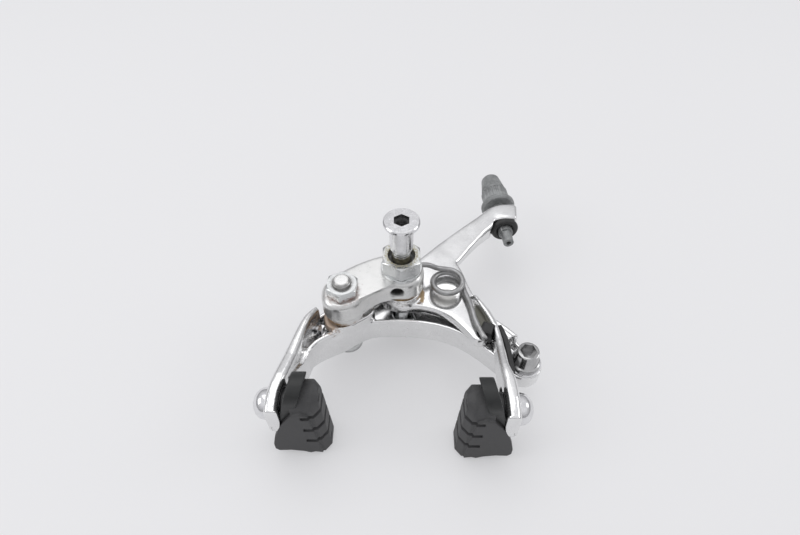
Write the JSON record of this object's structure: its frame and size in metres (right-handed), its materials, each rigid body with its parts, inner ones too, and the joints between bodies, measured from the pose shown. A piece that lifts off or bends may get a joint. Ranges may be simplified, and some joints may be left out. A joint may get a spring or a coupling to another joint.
{
  "type": "dual-pivot rim brake caliper",
  "caption": "Dual-pivot bicycle rim brake caliper with two curved arms, rubber pads, a return spring, a cable clamp and a barrel adjuster.",
  "frame": {"origin": "on the centre bolt's axis, in the plane of the rear nut's face that seats on the fork crown or seat-stay bridge", "axes": "+Z along the centre bolt, away from the arms; +X towards the cable side; -Y towards the pads"},
  "size_m": [0.0972, 0.1232, 0.0625],
  "materials": {
    "polished_arm": "polished",
    "satin_bracket": "satin",
    "zinc_steel": "zinc plated, satin",
    "bright_steel": "bright",
    "bearing_washer": "satin",
    "spring_wire": "satin",
    "black_plastic": "matte",
    "grey_alloy": "weathered",
    "pad_holder": "matte",
    "pad_rubber": "matte",
    "dark_washer": "matte"
  },
  "bodies": {
    "base": {"bracket": "satin_bracket", "centre_bolt": "zinc_steel", "rear_hex_nut": "zinc_steel", "rear_washer": "zinc_steel", "sleeve_nut": "bright_steel", "centre_thrust_washer": "bearing_washer", "front_lock_nut": "zinc_steel", "front_cap_nut": "bright_steel", "offset_bolt": "zinc_steel", "offset_nut": "zinc_steel", "offset_thrust_washer": "bearing_washer", "return_spring": "spring_wire"},
    "adjuster": {"adjuster_arm": "polished_arm", "spring_seat": "black_plastic", "side_guide": "black_plastic", "barrel_o_ring": "black_plastic", "right_pad_holder": "pad_holder", "right_pad_block": "pad_rubber", "right_pad_stud": "zinc_steel", "right_pad_washer": "dark_washer", "right_dome_nut": "bright_steel"},
    "barrel_screw": {"barrel_screw": "grey_alloy"},
    "barrel_knob": {"barrel_knob": "grey_alloy"},
    "anchor": {"anchor_arm": "polished_arm", "cable_bolt": "bright_steel", "cable_washer": "bright_steel", "centring_screw": "bright_steel", "left_pad_holder": "pad_holder", "left_pad_block": "pad_rubber", "left_pad_stud": "zinc_steel", "left_pad_washer": "dark_washer", "left_dome_nut": "bright_steel"}
  },
  "joints": [
    {"name": "adjuster_pivot", "type": "hinge", "parent": "base", "child": "adjuster", "pos_m": [0, 0, -0.022], "axis": [0, 0, 1], "range_deg": [-10, 0], "stiffness_Nm_per_rad": 0.3, "springref_deg": 28.65, "deforming": ["return_spring"]},
    {"name": "anchor_pivot", "type": "hinge", "parent": "base", "child": "anchor", "pos_m": [-0.0202, -0.01, -0.028], "axis": [0, 0, 1], "range_deg": [0, 12.5]},
    {"name": "barrel_travel", "type": "slide", "parent": "adjuster", "child": "barrel_screw", "axis": [-0.0854, 0.9963, 0], "range_m": [0, 0.003]},
    {"name": "barrel_turn", "type": "hinge", "parent": "barrel_screw", "child": "barrel_knob", "pos_m": [0.0434, 0.037, -0.0235], "axis": [-0.0854, 0.9963, 0], "range_deg": [0, 1080]}
  ],
  "couplings": [
    {"joint": "anchor_pivot", "follows": "adjuster_pivot", "ratio": -1.25},
    {"joint": "barrel_travel", "follows": "barrel_turn", "m_per_rad": 0.00015915}
  ]
}
